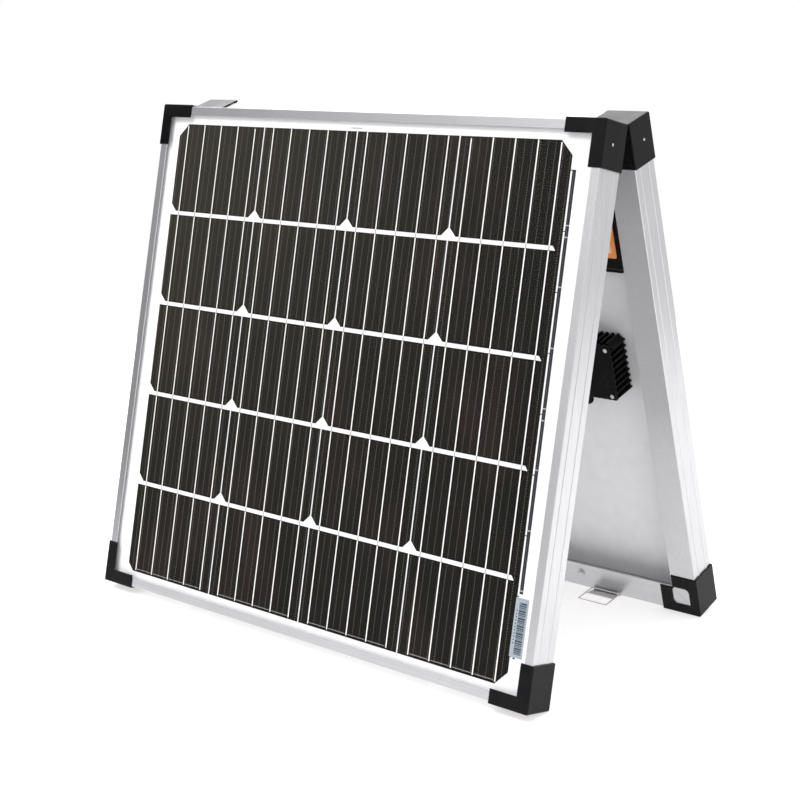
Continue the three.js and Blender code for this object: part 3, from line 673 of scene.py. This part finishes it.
def cross_ribbon(panel):
    """The dark ribbon in the right-hand margin, cut at its tabs, with a seam along its middle."""
    ribbon = Shape()
    seam = Shape()
    breaks = Shape()
    middle = (RIBBON_LEFT + RIBBON_RIGHT) / 2
    half_seam = SEAM_WIDTH / 2
    half_tab = TAB_WIDTH / 2
    half_break = BREAK_WIDTH / 2
    heights = [TAB_TOP - i * TAB_PITCH for i in range(TAB_COUNT)]
    head = heights[0]
    foot = heights[-2] + RIBBON_DROP
    ribbon.upright_strip(RIBBON_LEFT, RIBBON_RIGHT, foot, head + RIBBON_RISE, CELL_LOW, CELL_HIGH)
    seam.upright_strip(
        middle - half_seam, middle + half_seam, foot + SEAM_FOOT_INSET, head - SEAM_HEAD_INSET,
        CELL_HIGH, TAB_HIGH,
    )
    for index, height in enumerate(heights):
        last = index == TAB_COUNT - 1
        reach = RIBBON_LEFT - LAST_TAB_INSET if last else RIBBON_LEFT
        ribbon.upright_strip(
            CELLS_RIGHT - TAB_OVERLAP, reach, height - half_tab, height + half_tab, CELL_LOW, CELL_HIGH
        )
        if index == 0 or last:
            continue
        for offset in PAIRED_BREAKS if index % 3 == 1 else SINGLE_BREAK:
            place = height + offset
            breaks.upright_strip(
                RIBBON_LEFT, RIBBON_RIGHT, place - half_break, place + half_break, LINE_HIGH, PRINT_HIGH
            )
    breaks.upright_strip(
        LOOSE_END_LEFT, LOOSE_END_RIGHT, LOOSE_END_LOW, LOOSE_END_HIGH, CELL_LOW, CELL_HIGH
    )
    ribbon.make(f"{panel}_cross_ribbon", panel, ribbon_dark)
    seam.make(f"{panel}_ribbon_seam", panel, ribbon_seam)
    breaks.make(f"{panel}_ribbon_breaks", panel, gap_tab_grey)


def sticker_bar_places():
    """Bottom and top of each bar, of made-up widths and gaps that stand for no number."""
    places = []
    low = BARS_BOTTOM
    step = 0
    while low < BARS_TOP:
        thick = BAR_THINNEST + BAR_GROWTH * ((step * 5) % 4)
        places.append((low, low + thick))
        low += thick + BAR_GAP + BAR_GAP_GROWTH * ((step * 3) % 3)
        step += 1
    return places


def barcode_sticker(panel):
    """A pale sticker with generic bars and ticks, under the glass at the lower right."""
    film = Shape()
    ink = Shape()
    film.strip(STICKER_LEFT, STICKER_RIGHT, STICKER_BOTTOM, STICKER_TOP, CELL_HIGH, TAB_HIGH)
    for low, high in sticker_bar_places():
        ink.strip(BARS_LEFT, BARS_RIGHT, low, high, TAB_HIGH, PRINT_HIGH)
    for tick in range(TICK_COUNT):
        foot = TICKS_BOTTOM + tick * TICK_PITCH
        ink.strip(TICKS_LEFT, TICKS_LEFT + TICK_SIZE, foot, foot + TICK_SIZE, TAB_HIGH, PRINT_HIGH)
    ink.strip(STUB_LEFT, STUB_RIGHT, STUB_BOTTOM, STUB_TOP, CELL_HIGH, TAB_HIGH)
    film.make(f"{panel}_sticker", panel, sticker_film)
    ink.make(f"{panel}_sticker_bars", panel, sticker_ink)


for panel_name in PANELS:
    cell_layer(panel_name)
    busbars(panel_name)
    cell_rims(panel_name)
    cross_ribbon(panel_name)
    barcode_sticker(panel_name)


# ---------------------------------------------------------------- screws in the top corner caps

def cap_screws(panel):
    """A small countersunk screw in the side of each top corner cap, named by the object's own ends."""
    ends = ("left", "right") if panel == "front" else ("right", "left")
    for sign, end in zip((-1, 1), ends):
        profile = [(sign * (CAP_SIDE + stand), radius) for stand, radius in SCREW_PROFILE]
        shape = Shape()
        shape.lathe_across(profile[::sign], SCREW_DEPTH, SCREW_HEIGHT)
        shape.make(f"{panel}_cap_screw_{end}", panel, zinc_steel)


for panel_name in PANELS:
    cap_screws(panel_name)


# ---------------------------------------------------------------- print on the regulator's label

def regulator_print():
    """A cream field in an orange border, a small screen, and marks that stand for no word."""
    base = LABEL_FACE - LABEL_INK
    inked = LABEL_FACE - 2 * LABEL_INK
    field = Shape()
    field.strip(
        LABEL_LEFT + LABEL_BORDER, LABEL_RIGHT - LABEL_BORDER,
        LABEL_BOTTOM + LABEL_BORDER, LABEL_TOP - LABEL_BORDER, base, LABEL_FACE,
    )
    screen = Shape()
    screen.strip(SCREEN_LEFT, SCREEN_RIGHT, SCREEN_BOTTOM, SCREEN_TOP, LABEL_FACE - SCREEN_DEPTH, base)
    marks = Shape()
    for row in range(MARK_ROWS):
        for column in range(MARK_COLUMNS):
            left = MARKS_LEFT + column * MARK_PITCH_ACROSS
            foot = MARKS_BOTTOM + row * MARK_PITCH_UP
            length = MARK_SHORTEST + MARK_GROWTH * ((row + 2 * column) % 3)
            marks.strip(left, left + length, foot, foot + MARK_WIDTH, inked, base)
    for lamp in range(LAMP_COUNT):
        outline = circle(LAMPS_ACROSS, SCREEN_BOTTOM + lamp * LAMP_PITCH, LAMP_RADIUS, LAMP_SIDES)
        marks.plate(outline, inked, base)
    field.make("regulator_label_field", "rear", label_cream)
    screen.make("regulator_screen", "rear", screen_glass)
    marks.make("regulator_label_marks", "rear", label_ink)


regulator_print()


# ---------------------------------------------------------------- floor, light and camera

def floor():
    """A round white floor, a little luminous so that it meets the white studio without an edge."""
    mesh = bpy.data.meshes.new("floor")
    rim = [(x, y, 0) for x, y in circle(0, 0, FLOOR_RADIUS, FLOOR_SIDES)]
    mesh.from_pydata(rim, [], [tuple(range(FLOOR_SIDES))])
    recipe = Recipe("floor_white", (0.6, 0.6, 0.6), 0.7)
    mottle = recipe.noise(recipe.mapped((1, 1, 1)), 3.0, 3.0)
    recipe.colour(recipe.mix(mottle, (0.59, 0.59, 0.59), (0.62, 0.62, 0.62)))
    recipe.specular(0.2)
    recipe.shader.inputs["Emission Color"].default_value = (1, 0.985, 0.975, 1)
    recipe.shader.inputs["Emission Strength"].default_value = 0.6
    mesh.materials.append(recipe.material)
    piece = bpy.data.objects.new("floor", mesh)
    bpy.context.scene.collection.objects.link(piece)


def studio_brightness(tree):
    """How bright the studio is by direction: darkest on the left in front, and dim there at the floor."""
    dark_side = (-0.95, -0.30, 0.0)
    overhead_gain = 0.35
    direction = tree.nodes.new("ShaderNodeTexCoord").outputs["Generated"]
    dot = tree.nodes.new("ShaderNodeVectorMath")
    dot.operation = "DOT_PRODUCT"
    dot.inputs[1].default_value = dark_side
    tree.links.new(direction, dot.inputs[0])
    towards_dark = dot.outputs["Value"]
    upward = split_vector(tree, direction)["Z"]
    around = map_range(tree, towards_dark, 0.2, 0.6, 0.9, 1.45)
    shade = map_range(tree, towards_dark, 0.68, 0.9, 1.0, 0.0)
    tree.links.new(around.outputs["Result"], shade.inputs["To Min"])
    lifted = arithmetic(tree, "MULTIPLY_ADD", upward, overhead_gain, shade.outputs["Result"])
    floor_level = map_range(tree, towards_dark, 0.1, 0.6, 1.0, 0.3)
    horizon = map_range(tree, upward, -0.05, 0.25, 0.3, 1.0)
    tree.links.new(floor_level.outputs["Result"], horizon.inputs["To Min"])
    return arithmetic(tree, "MULTIPLY", lifted, horizon.outputs["Result"])


def studio_world():
    """The studio's light by direction, which the camera itself sees as plain white."""
    world = bpy.data.worlds.new("studio")
    bpy.context.scene.world = world
    world.use_nodes = True
    tree = world.node_tree
    background = tree.nodes["Background"]
    background.inputs["Color"].default_value = (1, 1, 1, 1)
    path = tree.nodes.new("ShaderNodeLightPath")
    choice = tree.nodes.new("ShaderNodeMix")
    tree.links.new(path.outputs["Is Camera Ray"], choice.inputs["Factor"])
    tree.links.new(studio_brightness(tree), choice.inputs["A"])
    choice.inputs["B"].default_value = 1.0
    tree.links.new(choice.outputs["Result"], background.inputs["Strength"])


def softbox(name, place, aim, size, power):
    data = bpy.data.lights.new(name, "AREA")
    data.shape = "DISK"
    data.size = size
    data.energy = power
    light = bpy.data.objects.new(name, data)
    bpy.context.scene.collection.objects.link(light)
    light.location = place
    light.rotation_mode = "QUATERNION"
    light.rotation_quaternion = (Vector(aim) - Vector(place)).to_track_quat("-Z", "Y")


def camera():
    yaw, pitch, roll = (math.radians(a) for a in (CAMERA_YAW, CAMERA_PITCH, CAMERA_ROLL))
    forward = Vector((-math.sin(yaw) * math.cos(pitch), math.cos(yaw) * math.cos(pitch), math.sin(pitch)))
    level = Vector((math.cos(yaw), math.sin(yaw), 0))
    up = level.cross(forward)
    right = math.cos(roll) * level + math.sin(roll) * up
    top = -math.sin(roll) * level + math.cos(roll) * up
    data = bpy.data.cameras.new("camera")
    data.lens = CAMERA_LENS
    data.sensor_width = 36.0
    data.shift_y = CAMERA_SHIFT
    view = bpy.data.objects.new("camera", data)
    bpy.context.scene.collection.objects.link(view)
    view.rotation_mode = "QUATERNION"
    view.rotation_quaternion = Matrix((right, top, -forward)).transposed().to_quaternion()
    view.location = CAMERA_PLACE
    bpy.context.scene.camera = view


floor()
studio_world()
softbox("key", place=(-0.9, -2.15, 3.5), aim=(0, 0, 0.3), size=1.3, power=66)
softbox("top", place=(0.6, 0.9, 3.2), aim=(0, 0, 0.3), size=2.4, power=20)
softbox("back", place=(-2.7, 2.6, 2.2), aim=(0, 0, 0.5), size=3.0, power=40)
softbox("side", place=(3.4, 0.9, 1.5), aim=(0.35, 0, 0.35), size=1.6, power=8)
camera()
bpy.context.scene.view_settings.view_transform = "Standard"
